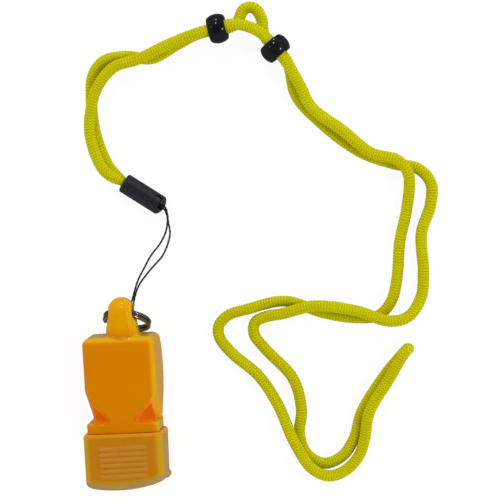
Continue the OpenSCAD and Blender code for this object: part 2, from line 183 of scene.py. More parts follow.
def object_point(start):
    """The point of the surface in the object's own metres."""
    return start.make("ShaderNodeTexCoord", outlet="Object")


def attribute(start, name):
    """A number that was kept on each point of the piece."""
    return start.make("ShaderNodeAttribute", {"attribute_name": name}, outlet="Fac")


def part_of(start, vector, letter):
    """One of the three numbers of a vector: X, Y or Z."""
    return start.make("ShaderNodeSeparateXYZ", {}, {0: vector}, outlet=letter)


def seen_by(start, kind):
    """1 for rays of this kind, such as Camera or Glossy, and 0 for all others."""
    return start.make("ShaderNodeLightPath", outlet=f"Is {kind} Ray")


def cloud(start, point, scale, detail=2.0):
    """Soft noise from 0 to 1, with this many waves to a metre."""
    inlets = {"Vector": point, "Scale": scale, "Detail": detail}
    return start.make("ShaderNodeTexNoise", {}, inlets, outlet="Fac")


# %% [markdown]
# ## Light
# The photograph was taken in a light tent: everything round the whistle is white, and the roof above it
# is dark round the lens. So the world is white near the horizon and almost black overhead. The front
# face gets little of its light and stays a pure orange, and the walls get much and turn peach. Gloss
# sees it much dimmer, or the walls would mirror it. To the camera it is white.

# %% The world
tent_pale, tent_dark = (1, 0.99, 0.97, 1), (0.03, 0.03, 0.035, 1)
tent_level, tent_loss_in_gloss = 1.45, 1.12
roof_from, roof_to = 0.55, 0.92

world = bpy.data.worlds.new("light tent")
bpy.context.scene.world = world
world.use_nodes = True
world.node_tree.nodes.clear()
sky = Socket(world.node_tree)
direction = sky.make("ShaderNodeTexCoord", outlet="Generated")
tent = part_of(sky, direction, "Z").clamped(roof_from, roof_to).between(tent_pale, tent_dark)
level = tent_level - seen_by(sky, "Glossy") * tent_loss_in_gloss
tent_light = sky.make("ShaderNodeBackground", {}, {"Color": tent, "Strength": level})
world.cycles.sampling_method = "NONE"
white = sky.make("ShaderNodeBackground", {}, {"Color": (1, 1, 1, 1), "Strength": 1.0})
whitened = seen_by(sky, "Camera") + seen_by(sky, "Transmission")
seen = sky.make("ShaderNodeMixShader", {}, {0: whitened, 1: tent_light, 2: white})
sky.make("ShaderNodeOutputWorld", {}, {"Surface": seen})

# %% [markdown]
# ## Lamps
# Small lamps in the tent's roof leave the speck on the lug, the streak along its right edge and the spots
# on the beads. Each lamp is given by its direction from the whistle, its size and its power, and one
# loop hangs them all at the same distance and turns them to the whistle.

# %% Lamps
lamp_distance = 0.9
lit_place = Vector((0.04, 0.04, 0))
lamps = {"top": ((-0.08, 0.71, 0.69), (0.03, 0.02), 0.9),
         "back": ((-0.08, 0.96, 0.25), (0.03, 0.02), 0.9),
         "side": ((0.725, -0.01, 0.69), (0.012, 0.012), 1.5),
         "left": ((-0.6, 0.3, 0.74), (0.03, 0.03), 0.25)}
for name, (toward, (wide, high), power) in lamps.items():
    lamp = bpy.data.lights.new(name, "AREA")
    lamp.shape = "RECTANGLE"
    lamp.size, lamp.size_y = wide, high
    lamp.energy = power
    holder = bpy.data.objects.new(name, lamp)
    holder.location = lit_place + Vector(toward).normalized() * lamp_distance
    holder.rotation_euler = Vector(toward).to_track_quat("Z", "Y").to_euler()
    bpy.context.collection.objects.link(holder)
print("lamps:", ", ".join(lamps))

# %% [markdown]
# ## Table
# The background is cut out in the photograph, so no shadow shows in it. The table here is almost white
# to the camera and keeps a faint shadow, which shows that the cord lies on it. Gloss sees it dim, as it
# sees the tent, so no pale line runs along the edges near the table.

# %% The table
table_size = 3.0
table_level, table_loss_in_gloss, table_glow_to_camera = 1.05, 0.85, 0.86
table_mesh = bpy.data.meshes.new("table")
corners = [(-table_size, -table_size, 0), (table_size, -table_size, 0),
           (table_size, table_size, 0), (-table_size, table_size, 0)]
table_mesh.from_pydata(corners, [], [(0, 1, 2, 3)])
table = bpy.data.objects.new("table", table_mesh)
bpy.context.collection.objects.link(table)
table_white, start = new_tree("table_white")
paper = start.make("ShaderNodeBsdfDiffuse", {}, {"Color": (0.86, 0.86, 0.86, 1)})
in_gloss = seen_by(start, "Glossy")
level = table_level - in_gloss * table_loss_in_gloss
glow = start.make("ShaderNodeEmission", {}, {"Color": (1, 1, 1, 1), "Strength": level})
glowing = seen_by(start, "Camera") * table_glow_to_camera + in_gloss + seen_by(start, "Transmission")
whole = start.make("ShaderNodeMixShader", {}, {0: glowing, 1: paper, 2: glow})
start.make("ShaderNodeOutputMaterial", {}, {"Surface": whole})
table_mesh.materials.append(table_white)

# %% [markdown]
# ## Putting arrays into meshes
# Every new piece ends in the same call: an array of points, arrays of faces and a finish. Points in
# millimetres become metres here. A piece with a pattern that follows its length also gets a UV map: one
# pair of numbers for each corner of each face.

# %% A mesh from arrays
def new_piece(name, points, faces, finish, body, uv=None):
    """Makes a mesh object from points in millimetres and a list of face arrays, and lets it ride on a
    body of the model."""
    mesh = bpy.data.meshes.new(name)
    mesh.from_pydata((np.asarray(points) * mm).tolist(), [], [f for part in faces for f in part.tolist()])
    mesh.polygons.foreach_set("use_smooth", np.ones(len(mesh.polygons), bool))
    if uv is not None:
        mesh.uv_layers.new(name="along").data.foreach_set("uv", np.concatenate(uv).ravel())
    mesh.materials.append(finish)
    mesh.update()
    piece = bpy.data.objects.new(name, mesh)
    bpy.context.collection.objects.link(piece)
    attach(piece, body)
    print(name, "has", len(mesh.vertices), "points")
    return piece


# %% [markdown]
# ## Cords as tubes along a path
# The neck cord and the string lie on smooth curves through the same listed points as their solids.
# A Bezier curve object could draw them, but the knit's relief has to follow the cord, so the tube is
# worked out here: rings of points round the path, whose radius may differ at every point.

# %% A smooth path through points
def smooth_path(points, step):
    """Curve through points, cut into equal steps.
    Each stretch is a cubic between two points: its slopes are those of the centripetal rule, where the
    time between points is the square root of their distance, which keeps tight turns free of loops."""
    p = np.asarray(points, float)
    p = np.vstack([2 * p[0] - p[1], p, 2 * p[-1] - p[-2]])
    t = np.sqrt(np.linalg.norm(np.diff(p, axis=0), axis=1))[:, None]
    rise = np.diff(p, axis=0) / t
    slope = rise[:-1] - (p[2:] - p[:-2]) / (t[:-1] + t[1:]) + rise[1:]
    samples = 32
    share = (np.arange(samples) / samples)[None, :, None]
    a, b = p[1:-2, None], p[2:-1, None]
    first, last = (slope[:-1] * t[1:-1])[:, None], (slope[1:] * t[1:-1])[:, None]
    curve = ((2 * a - 2 * b + first + last) * share**3
             + (3 * b - 3 * a - 2 * first - last) * share**2 + first * share + a)
    curve = np.vstack([curve.reshape(-1, 3), p[-2]])
    run = np.concatenate([[0], np.cumsum(np.linalg.norm(np.diff(curve, axis=0), axis=1))])
    even = np.linspace(0, run[-1], int(round(run[-1] / step)) + 1)
    return np.stack([np.interp(even, run, curve[:, i]) for i in range(3)], axis=1), even


# %% Rings carried along a path
def carried_sides(path):
    """Side and up at each point. The side starts upright, is carried on from point to point and is
    kept square to the heading."""
    heading = np.gradient(path, axis=0)
    heading /= np.linalg.norm(heading, axis=1)[:, None]
    side = np.empty_like(path)
    carried = np.array([0.0, 0.0, 1.0])
    for i, h in enumerate(heading):
        carried = carried - h * (carried @ h)
        carried = carried / np.linalg.norm(carried)
        side[i] = carried
    return side, np.cross(heading, side)


def tube(path, radius):
    """Points on rings: path + radius * (cos(angle) * side + sin(angle) * up), and a pole at each end.
    radius has one row for each point of the path and one column for each side of the tube."""
    side, up = carried_sides(path)
    rows, sides = radius.shape
    angle = np.arange(sides) / sides * 2 * np.pi
    ring = side[:, None] * np.cos(angle)[None, :, None] + up[:, None] * np.sin(angle)[None, :, None]
    rings = path[:, None] + ring * radius[..., None]
    corner = np.arange(rows * sides).reshape(rows, sides)
    right = np.roll(corner, -1, axis=1)
    walls = np.stack([corner[:-1], right[:-1], right[1:], corner[1:]], axis=-1).reshape(-1, 4)
    pole = rows * sides
    start = np.stack([np.full(sides, pole), right[0], corner[0]], axis=-1)
    end = np.stack([np.full(sides, pole + 1), corner[-1], right[-1]], axis=-1)
    points = np.vstack([rings.reshape(-1, 3), path[:1], path[-1:]])
    return points, [walls, start, end]


def tube_uv(run, sides):
    """UV for a tube's faces: the share of the way round, and the distance along in metres."""
    u, v = np.meshgrid(np.arange(sides), np.arange(len(run) - 1))
    left, right, low, high = u / sides, (u + 1) / sides, run[v] * mm, run[v + 1] * mm
    walls = np.stack([left, low, right, low, right, high, left, high], axis=-1).reshape(-1, 2)
    k = np.arange(sides) / sides
    start = np.stack([k, k * 0, k + 1 / sides, k * 0, k, k * 0], axis=-1).reshape(-1, 2)
    end = start + [0, run[-1] * mm]
    return [walls, start, end]


# %% [markdown]
# ## Neck cord
# The neck cord is a knitted tube of yellow yarn, three millimetres thick and folded double. Its face
# shows columns of small V stitches. The columns and stitches are real relief on the tube, so that they
# catch light from every side, and the finish adds the yarn's fine fibres. A soft tube that lies on a
# table is a little wider than it is high. The route repeats the solid's points.

# %% The neck cord's route
strand_one = [
    (6, 59.5, 1.8), (2.5, 62, 1.8), (-2, 67, 1.6), (-5.5, 77.5, 1.6), (-6, 88, 1.6),
    (-5, 94.5, 1.6), (-1.5, 98.5, 1.6), (5, 99.5, 1.6), (13, 98.5, 1.6), (20.5, 102, 1.6),
    (27.5, 105, 2.8), (38.5, 107, 2.8), (41.5, 111.5, 1.6), (44.5, 111.5, 1.6), (46.5, 108, 1.8),
    (47, 103.5, 2.8), (53.5, 95, 2.8), (55.5, 85, 1.6), (62.5, 76.5, 1.6), (73.5, 67.5, 1.6),
    (83, 63.5, 1.6), (90.5, 61.5, 1.6), (94, 57, 1.6), (93.5, 50.5, 1.6), (90.5, 42.5, 1.6),
    (90.5, 31, 1.6), (89.5, 23.5, 1.8), (85.5, 18, 3.4), (80, 17, 4.8), (70, 20.5, 4.8),
    (58, 22.5, 5.2), (48, 20.5, 3.8), (42.5, 19.5, 2), (39.5, 18, 1.6), (39, 14.5, 1.6),
    (42, 10, 1.6), (50, 0.5, 1.6), (52, -9, 1.6), (51, -16.5, 1.6), (53, -22.5, 1.6),
    (58, -25.5, 1.6), (63.5, -23.5, 1.6), (67.5, -18, 1.6), (70, -10.5, 1.6), (78, 1, 1.6),
    (83.5, 7, 1.6)]
far_fold = [(84.5, 8, 2.2), (85, 8.5, 3.3), (84.5, 8, 4.4)]
strand_two = [
    (6, 59.5, 4), (2.5, 62, 4), (-3, 66, 4.8), (-6.5, 76.5, 4.8), (-5.5, 85.5, 4.8),
    (-3, 91.5, 4.6), (2, 96.5, 4.6), (9.5, 98.5, 4.8), (18, 102, 4.8), (27.5, 105, 5.9),
    (38.5, 107, 5.9), (43, 106, 5.7), (47, 103.5, 5.9), (53.5, 95, 5.9), (57, 88, 5),
    (60, 81.5, 4.6), (69, 74, 4.8), (77, 67, 4.8), (84.5, 64.5, 4.8), (87.5, 60.5, 4.8),
    (86.5, 50, 1.6), (84, 40.5, 1.6), (82.5, 29, 1.6), (80.5, 22.5, 1.6), (76.5, 18.5, 1.6),
    (70, 18, 1.6), (60, 20, 1.6), (49, 24, 1.6), (37, 22, 1.6), (31.5, 20.5, 1.6),
    (28.5, 17.5, 1.6), (28.5, 14, 1.6), (32, 9, 1.6), (39.5, 2, 1.6), (45, -7, 2),
    (49.5, -18, 4.8), (54.5, -26.5, 4.4), (59.5, -29, 3.6), (64.5, -27.5, 3), (68.5, -23.5, 2.8),
    (70.5, -18.5, 3.4), (72.5, -10, 4.6), (79, 0, 4.8), (83.5, 7, 5)]
cord_d = 3.0
cord_step = 0.2
off_table = 0.05

cord_path, cord_run = smooth_path(strand_one + far_fold + strand_two[::-1], cord_step)
cord_path[:, 2] = np.maximum(cord_path[:, 2], cord_d / 2 + off_table)
print("the neck cord is", round(cord_run[-1], 1), "mm long")

# %% The knit's relief
columns = 8
sides_per_column = 3
stitch = 0.85
relief = 0.10
oval = 0.18
stitch_lean, column_round, column_rise = 1.1, 1.6, 0.35
pinched_d, pinched_from, pinched_to = 2.1, 3.5, 8.0


def knit_height(around, along):
    """Height of the knit from 0 to 1: within each column a V of stitches, as a cosine of
    (distance along / stitch - lean * distance from the column's middle), and lower at its edges."""
    across = np.abs((around * columns) % 1 - 0.5)
    ridge = 0.5 + 0.5 * np.cos(2 * np.pi * (along / stitch - stitch_lean * across))
    return ridge * (1 - column_round * across**2) + column_rise * (0.5 - across)


def eased(share):
    """A share from 0 to 1 that starts and ends softly: 3 * share^2 - 2 * share^3."""
    return share * share * (3 - 2 * share)


def cord_radius(run):
    """Radius along the cord: pinched over the ends that the ferrule holds, full beyond it."""
    from_end = np.minimum(run, run[-1] - run)
    grown = np.clip((from_end - pinched_from) / (pinched_to - pinched_from), 0, 1)
    return (pinched_d + (cord_d - pinched_d) * eased(grown)) / 2


cord_sides = columns * sides_per_column
around = (np.arange(cord_sides) + 0.5) / cord_sides
knit = knit_height(around[None, :], cord_run[:, None])
wide = 1 + oval * np.sin(2 * np.pi * np.arange(cord_sides) / cord_sides) ** 2
cord_rings = cord_radius(cord_run)[:, None] * wide[None, :] - relief * (1 - knit)

# %% [markdown]
# ## The cord's yarn
# Under a lens the yarn is many fine fibres. Each stitch's back is painted lighter and the groove beside
# it darker, painted light and shade over the real relief, and the colour drifts a little along the cord.
# The pattern uses the UV map, so it bends with the cord.

# %% The cord's finish
yarn_finish, start = new_tree("yellow_knit")
place = start.make("ShaderNodeUVMap", {"uv_map": "along"})
across = ((part_of(start, place, "X") * columns).fraction() - 0.5).size()
wave = part_of(start, place, "Y") * (1 / (stitch * mm)) - across * stitch_lean
ridge = (wave * (2 * math.pi)).cosine() * 0.5 + 0.5
fibre_place = start.make("ShaderNodeVectorMath", {"operation": "MULTIPLY"}, {0: place, 1: (9, 5200, 1)})
fibres = cloud(start, fibre_place, 1.0, 3.0)
point = object_point(start)
drift = cloud(start, point, 90)
grain = cloud(start, point, 2600, 1.0)
height = ridge * 0.6 + fibres * 0.3 + grain * 0.25
# Painted light and shade with real grain: stitch backs painted lighter, the grooves beside them and
# between columns painted darker, plus random grain.
shade = (ridge * 0.75 + grain * 0.45 - across * 0.3).clamped(0.05, 0.95)
yarn = shade.between((0.35, 0.335, 0.0, 1), (0.62, 0.59, 0.004, 1))
worn = (drift * 0.6).clamped(0.2, 0.45).between((0.44, 0.39, 0.0, 1), (0.46, 0.49, 0.0, 1))
yarn = start.make("ShaderNodeMix", {"data_type": "RGBA"}, {"Factor": 0.3, 6: yarn, 7: worn}, outlet=2)
finish_surface(start, yarn, 0.75 + grain * 0.15, height, 0.00009, {"Specular IOR Level": 0.03})

# %% The neck cord
cord_points, cord_faces = tube(cord_path, cord_rings)
cord_points[:, 2] = np.maximum(cord_points[:, 2], 0)
neck_cord = new_piece("neck_cord", cord_points, cord_faces, yarn_finish, "whistle",
                      tube_uv(cord_run, cord_sides))
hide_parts("lanyard_cord")

# %% [markdown]
# ## String
# A thin black string runs from its knot in the ferrule to the split ring, round the ring's lowest wires
# and back. It is two plies twisted together, which stand a little proud as a spiral on its surface.

# %% The string's route and finish
string_out = [
    (7.3, 59, 2.9), (14.4, 54.1, 2.9), (14.9, 52, 1.9), (14.9, 49.5, 0.9), (15.2, 46, 0.5),
    (14.2, 42.5, 0.3), (12.3, 39, 0.3), (9.8, 36.5, 0.3), (7, 33.5, 0.3), (4.7, 30.5, 0.3),
    (3.1, 26.5, 0.3), (2.1, 21, 0.3)]
string_turn = [(1, 18.5, 0.3), (0.7, 16.6, 0.5), (0.5, 15.8, 1.6), (0.4, 16.4, 2.9), (0.5, 17.8, 3.1)]
string_back = [
    (6.9, 58.5, 2.9), (14, 53.6, 2.9), (14.9, 51, 2.3), (14.7, 49, 1.6), (14, 46.5, 1),
    (12, 43, 0.3), (9, 39.5, 0.3), (6.8, 36, 0.3), (4.5, 32, 0.3), (2.5, 26.5, 0.3),
    (1.6, 24, 0.7), (1.2, 21, 1.8), (0.7, 19.2, 2.6)]
string_d = 0.5
string_sides = 10
string_step = 0.15
ply_turn, ply_share = 1.6, 0.2
string_off_table = 0.02

string_finish, start = new_tree("black_string")
point = object_point(start)
fuzz = cloud(start, point, 6000, 2.0)
tone = cloud(start, point, 700).between((0.008, 0.008, 0.009, 1), (0.022, 0.022, 0.024, 1))
finish_surface(start, tone, 0.45 + fuzz * 0.25, fuzz, 0.00004)

# %% The string
def twisted(run, thickness):
    """Radius of two plies that wind round each other:
    string_d / 2 * (thickness + ply_share * size of cos(angle - pi * run / ply_turn))."""
    angle = np.arange(string_sides) / string_sides * 2 * np.pi
    plies = np.abs(np.cos(angle[None, :] - run[:, None] / ply_turn * np.pi))
    return string_d / 2 * (thickness + ply_share * plies)


string_path, string_run = smooth_path(string_out + string_turn + string_back[::-1], string_step)
string_path[:, 2] = np.maximum(string_path[:, 2], string_d / 2 + string_off_table)
string_points, string_faces = tube(string_path, twisted(string_run, 1.0))
string = new_piece("string", string_points, string_faces, string_finish, "whistle")
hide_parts("string_loop")

# %% [markdown]
# ## The string's hitch on the ring
# A thin string is held on a ring by a hitch: a turn of the string lies tightly round the ring's wires.
# The ring swings by more than half a circle, and a string that is bent between the body and the ring
# would take the short way round, through the whistle. So the hitch is a closed loop of its own, which
# goes along with the ring, and the two strands stay where they lie.

# %% The hitch
hitch_thickness = 1.15
hitch_turn = [(0.9, 18.9, 0.65), (0.8, 17.6, 0.45), (0.7, 16.5, 0.6), (0.5, 15.8, 1.6), (0.4, 16.4, 2.9),
              (0.5, 17.8, 3.15), (0.6, 19.2, 2.6), (0.9, 19.6, 1.5), (0.9, 18.9, 0.65)]
hitch_path, hitch_run = smooth_path(hitch_turn, string_step)
hitch_points, hitch_faces = tube(hitch_path, twisted(hitch_run, hitch_thickness))
new_piece("hitch", hitch_points, hitch_faces, string_finish, "ring")

# %% [markdown]
# ## Split ring
# One spring wire makes almost two turns, so that things can be threaded onto it between them. The wire
# steps from one turn to the next over a sixth of a circle, and its two ends are ground flat. The turns
# lie closer together than in the solid, which leaves room between them. The ring hangs in the lug's
# bore, leaning towards the end wall.

# %% The ring's wire
ring_od = 14.5
wire_d = 1.1
turn_pitch = 1.2
ring_lean = math.radians(27.5)
ring_skew = math.radians(8)
ring_centre = np.array([1.7, 20.91, 7.573])
wire_from, wire_to = -100, 560
wire_step = 3.0
step_from, step_turn = 200, 60


def ring_wire(degrees):
    """Centre + radius * (sin * right - cos * hang) + pitch * (share - 1/2) * axis, where the share
    goes smoothly from 0 to 1 while the wire steps over to its second turn."""
    hang = np.array([0, -math.sin(ring_lean), -math.cos(ring_lean)])
    flat = np.array([0, math.cos(ring_lean), -math.sin(ring_lean)])
    wide = np.array([1, 0, 0])
    to_right = math.cos(ring_skew) * wide - math.sin(ring_skew) * flat
    axis = math.cos(ring_skew) * flat + math.sin(ring_skew) * wide
    share = eased(np.clip((degrees - step_from) / step_turn, 0, 1))[:, None]
    angle = np.radians(degrees)[:, None]
    radius = (ring_od - wire_d) / 2
    circle = radius * (np.sin(angle) * to_right - np.cos(angle) * hang)
    return ring_centre + circle + (share - 0.5) * turn_pitch * axis


wire_sides = 20
ground_len, ground_share = 0.5, 0.28
wire_path = ring_wire(np.arange(wire_from, wire_to + 1, wire_step))
wire_run = np.concatenate([[0], np.cumsum(np.linalg.norm(np.diff(wire_path, axis=0), axis=1))])
wire_end = np.minimum(wire_run, wire_run[-1] - wire_run)
wire_rounding = np.clip(wire_end / ground_len, 0, 1) ** 0.5
wire_radius = wire_d / 2 * (1 - ground_share + ground_share * wire_rounding)

wire_finish, start = new_tree("dark_polished_wire")
point = object_point(start)
drawn = cloud(start, point, 1500, 2.0)
smudge = cloud(start, point, 260, 3.0)
tone = smudge.between((0.14, 0.115, 0.10, 1), (0.42, 0.36, 0.31, 1))
finish_surface(start, tone, 0.14 + drawn * 0.12, drawn, 0.00001, {"Metallic": 1.0})

wire_points, wire_faces = tube(wire_path, np.repeat(wire_radius[:, None], wire_sides, axis=1))
split_ring = new_piece("ring", wire_points, wire_faces, wire_finish, "ring")
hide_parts("split_ring")

# %% [markdown]
# ## Solids from a distance formula
# The whistle's body, its grip and the ferrule are moulded: each is one solid with walls, windows and
# bores, and every edge and every inner corner is softly rounded. No grid of two parameters covers such a
# shape, and Boolean cuts would leave its edges sharp. So these three are made another way. A formula
# gives, for any point in space, the distance to the solid: minus inside and plus outside. Solids are
# joined, cut and rounded by simple sums of their distances, and the skin is then drawn where the formula
# is zero.

# %% Joining and cutting by distance
def joined(a, b, r):
    """Two solids made one, with the inner corner between them filled to the radius r:
    max(r, min(a, b)) less the length of (r - a, r - b), where a negative part counts as nothing."""
    filled = np.hypot(np.maximum(r - a, 0), np.maximum(r - b, 0))
    return np.maximum(r, np.minimum(a, b)) - filled


def shared(a, b, r):
    """What two solids share, with the edge between them rounded to the radius r."""
    return -joined(-a, -b, r)


def cut(a, b, r):
    """A solid less another, with the new edges rounded to the radius r."""
    return shared(a, -b, r)


# %% The skin of a distance formula
def neighbours(axis):
    """The four cells round a grid edge that runs along an axis, as steps back along the others."""
    others = [i for i in range(3) if i != axis]
    steps = [(0, 0), (1, 0), (1, 1), (0, 1)]
    return [tuple(dict(zip(others, s)).get(i, 0) for i in range(3)) for s in steps]


def slope_of(solid, points):
    """How the distance grows along x, y and z, from two samples a hair apart on each axis."""
    hair = 0.02
    rows = []
    for axis in range(3):
        shift = np.zeros(3)
        shift[axis] = hair
        rows.append(solid(*(points + shift).T) - solid(*(points - shift).T))
    return np.stack(rows, axis=1) / (2 * hair)


def skin(solid, low, high, step):
    """Points and faces where the distance is zero. Space is cut into cells. Each cell that the skin
    crosses gets one point, the mean of the crossings on its edges, and each crossed edge gets one face
    between its four cells. Then every point slides along the slope by its own distance."""
    lines = [np.arange(a, b + step, step) for a, b in zip(low, high)]
    value = solid(*np.meshgrid(*lines, indexing="ij"))
    inner = value < 0
    cells = tuple(n + 1 for n in value.shape)
    total, count = np.zeros((*cells, 3)), np.zeros(cells)
    crossings = []
    for axis in range(3):
        ahead = [slice(None)] * 3
        behind = [slice(None)] * 3
        ahead[axis], behind[axis] = slice(1, None), slice(None, -1)
        at = np.argwhere(inner[tuple(ahead)] != inner[tuple(behind)])
        a, b = value[tuple(behind)][tuple(at.T)], value[tuple(ahead)][tuple(at.T)]
        place = at.astype(float)
        place[:, axis] += a / (a - b)
        place = np.stack([lines[i][0] + place[:, i] * step for i in range(3)], axis=1)
        round_edge = [at + 1 - np.array(n) for n in neighbours(axis)]
        for cell in round_edge:
            np.add.at(total, tuple(cell.T), place)
            np.add.at(count, tuple(cell.T), 1)
        crossings.append((axis, a < 0, round_edge))
    busy = count > 0
    number = np.full(cells, -1)
    number[busy] = np.arange(busy.sum())
    points = total[busy] / count[busy][:, None]
    faces = []
    for axis, leaving, round_edge in crossings:
        quad = np.stack([number[tuple(cell.T)] for cell in round_edge], axis=1)
        forward = leaving if axis != 1 else ~leaving
        faces.append(np.where(forward[:, None], quad, quad[:, ::-1]))
    slides, longest, least_steep = 4, step / 4, 0.5
    for _ in range(slides):
        slope = slope_of(solid, points)
        steep = np.maximum((slope**2).sum(axis=1), least_steep)[:, None]
        slide = np.clip(solid(*points.T), -longest, longest)[:, None]
        points = points - slide * slope / steep
    return points, np.vstack(faces)


# %% [markdown]
# ## The whistle's body
# The body is a round belly under a flat front plate, drawn out to a mouthpiece at one end and to a lug
# with a cross bore at the other. It has no pea: air from three windways meets two windows in the front
# corners and a third in the belly. Its main sizes are those of the solids, and the formula adds what
# a moulded part has: softer edges, a crowned lug shaped like a thumb and a filled corner at the lug's
# foot. The windows reach a little higher than the solids' and the walls beside them are thicker, as
# the photograph shows them.

# %% The body's sizes
half_w, side_wall, end_wall = 10.75, 1.4, 1.6
tip_y, end_y, block_y, rim_y, mouth_y, grip_end_y = 28.5, 17.0, -8.5, -11.5, -26.7, -28.5
front_z, plate_z = 18.0, 16.2
belly_y, belly_z, belly_r, belly_wall = 6.0, 15.0, 15.0, 1.5
throat_y, throat_z, under_slope = -5.53, 5.4, 0.1134
inner_half = half_w - side_wall
end_inside_y = end_y - end_wall
edge_r, belly_edge_r = 2.2, 0.8
neck_r, crisp_r, tight_r = 0.8, 0.2, 0.05
room_r, room_edge_r, bore_edge_r = 0.7, 0.35, 0.3
ledge_edge_r, way_foot_r = 0.35, 0.3
hidden_overlap = 5
seat, seat_r, seat_reach, neck_reach = 0.3, 0.6, 0.5, 1.5
window_a = np.array([half_w, 0.2, front_z])
window_b = np.array([3.6, -6.75, front_z])
window_c = np.array([half_w, block_y, 7.5])
window_round, window_foot, window_end = 2.4, 0.8, 3.6
window_wall, window_wall_top, window_wall_y, window_wall_run = 0.75, 17.5, 1.5, 3
belly_window_half, belly_window_y = 3.0, -5.3
lug_side, lug_tip_r, lug_base_half, lug_r, bore_r = 1.0, 3.8, 4.9, 4.5, 2.6
lug_edge_r, lug_edge_share, lug_least_r, lug_foot_r = 2.2, 0.7, 0.02, 0.5
lug_crown_r, lug_crown_reach, lug_root = 9.0, 4, 0.6
bore_y, bore_z = 23.7, 12.5
lean_length = math.hypot(1, under_slope)
mouth_bow, mouth_bow_x = 0.0125, -2.2


# %% The body's formula
def wedge(x, y, z, grown, r, from_y, to_y, end_r=0.25, top_r=0.25):
    """The mouthpiece between two lines: walls, sloping underside and front, grown all round. Its
    mouth end is bowed: the line lies back with the square of the distance from the middle."""
    side = np.abs(x) - half_w - grown
    under = (throat_z + (throat_y - y) * under_slope - z) / lean_length - grown
    box = shared(shared(side, z - front_z - grown, edge_r + grown), under, r)
    bowed = from_y + mouth_bow * (x - mouth_bow_x) ** 2 - y
    return shared(shared(box, bowed, end_r), y - to_y, top_r)


def lug_solid(x, y, z):
    """A thumb: at each y a rectangle with rounded corners, as wide as the lug's outline from the
    front and as deep as its outline from the side. Both outlines end in a half circle."""
    tip_centre, deep_centre = tip_y - lug_tip_r, tip_y - lug_r
    lean = (lug_base_half - lug_tip_r) / (tip_centre - end_y)
    half_width = lug_tip_r + lean * np.maximum(tip_centre - y, 0)
    half_width = half_width - lug_tip_r + round_end(y - tip_centre, lug_tip_r)
    half_depth = round_end(y - deep_centre, lug_r)
    corner_r = np.clip(lug_edge_share * np.minimum(half_width, half_depth), lug_least_r, lug_edge_r)
    crown = np.minimum((x - lug_side) ** 2, lug_crown_reach**2) / (2 * lug_crown_r)
    front = np.abs(z - bore_z) + crown - half_depth
    thumb = shared(np.abs(x - lug_side) - half_width, front, corner_r)
    return np.maximum(np.maximum(thumb, y - tip_y), end_inside_y + lug_root - y)


def round_end(past, r):
    """Half the width of a bar of radius r at a distance past the middle of its round end."""
    return np.sqrt(np.maximum(r**2 - np.clip(past, 0, r) ** 2, 0))


def side_walls(x, y, z):
    """The side walls with the two front windows. Each is a slanting plane that runs out into its wall
    in a wide curve. The ledge below them is added again, with a filled corner at its foot."""
    side = np.abs(x) - half_w
    out = np.cross(window_b - window_a, window_c - window_a)
    out = out / np.linalg.norm(out) * np.sign(out[2])
    plane = np.abs(x) * out[0] + y * out[1] + z * out[2] - window_a @ out
    above = joined(shared(side, plane, window_round), np.abs(x) - window_end, way_foot_r)
    above = shared(above, z - front_z, ledge_edge_r)
    ledge = shared(shared(side, z - front_z, ledge_edge_r), y - block_y, ledge_edge_r)
    return joined(above, ledge, window_foot)


def body_room(x, y, z):
    """The space inside the walls: the round room, and the way out through the mouthpiece."""
    low = np.clip((window_wall_top - z) / window_wall_run, 0, 1)
    near = np.clip((window_wall_y - y) / window_wall_run, 0, 1)
    side = np.abs(x) - inner_half + window_wall * (low * near)
    drum = np.hypot(y - belly_y, z - belly_z) - (belly_r - belly_wall)
    drum = np.maximum(drum, np.maximum(y - end_inside_y, block_y - y))
    floor = (throat_z + (throat_y - y) * under_slope - z) / lean_length + belly_wall
    way = np.maximum(floor, y - throat_y)
    return shared(shared(joined(drum, way, way_foot_r), side, room_r), z - plate_z, room_r)


def body_outside(x, y, z):
    """Belly and mouthpiece under the front face, with windows, lug and bore, but still full."""
    side = np.abs(x) - half_w
    drum = shared(side, np.hypot(y - belly_y, z - belly_z) - belly_r, belly_edge_r)
    neck = wedge(x, y, z, 0, neck_r, rim_y - hidden_overlap, throat_y + neck_reach)
    neck = shared(neck, rim_y - y, crisp_r)
    shell = joined(drum, neck, neck_r)
    shell = shared(shared(shared(side, z - front_z, edge_r), y - end_y, edge_r), shell, tight_r)
    shell = np.maximum(shell, side_walls(x, y, z))
    shell = joined(shell, wedge(x, y, z, -seat, seat_r, mouth_y, rim_y + seat_reach), tight_r)
    shell = joined(shell, lug_solid(x, y, z), lug_foot_r)
    return cut(shell, np.hypot(y - bore_y, z - bore_z) - bore_r, bore_edge_r)


def body(x, y, z):
    """The outside less the room and the belly's window."""
    shell = cut(body_outside(x, y, z), body_room(x, y, z), room_edge_r)
    gap = np.maximum(np.abs(x) - belly_window_half, np.maximum(block_y - y, y - belly_window_y))
    return cut(shell, np.maximum(gap, z - belly_z), crisp_r)


body_low, body_high, body_cell = (-11.6, -27.6, -0.7), (11.6, 29.4, 18.9), 0.34
body_points, body_faces = skin(body, body_low, body_high, body_cell)
print("body:", len(body_points), "points, lowest", round(body_points[:, 2].min(), 3))

# %% [markdown]
# ## Painted light on the edges
# The orange plastic lets a little light through, and that light is painted into its colour here. A wall
# that is turned to the light, which comes from the right and from the lug's end, is painted yellow, and
# an inner corner, where light is thrown from wall to wall, is painted red. The yellow follows the slope
# of the distance formula. The red follows how the surface bends: a little way off an inner corner, the
# distance is less than over a flat. The inside of the windows is painted a dark red and given a painted
# red glow, as deep as one sees into them. Each result is kept as a number on each point, because only
# the formula knows it.

# %% How the surface bends
def bend_of(solid, points, reach):
    """Mean distance at six points a reach away, over the reach: above zero at an outer edge, below
    zero in an inner corner, and zero on a flat."""
    total = np.zeros(len(points))
    for axis in range(3):
        shift = np.zeros(3)
        shift[axis] = reach
        total += solid(*(points + shift).T) + solid(*(points - shift).T)
    return total / (6 * reach)


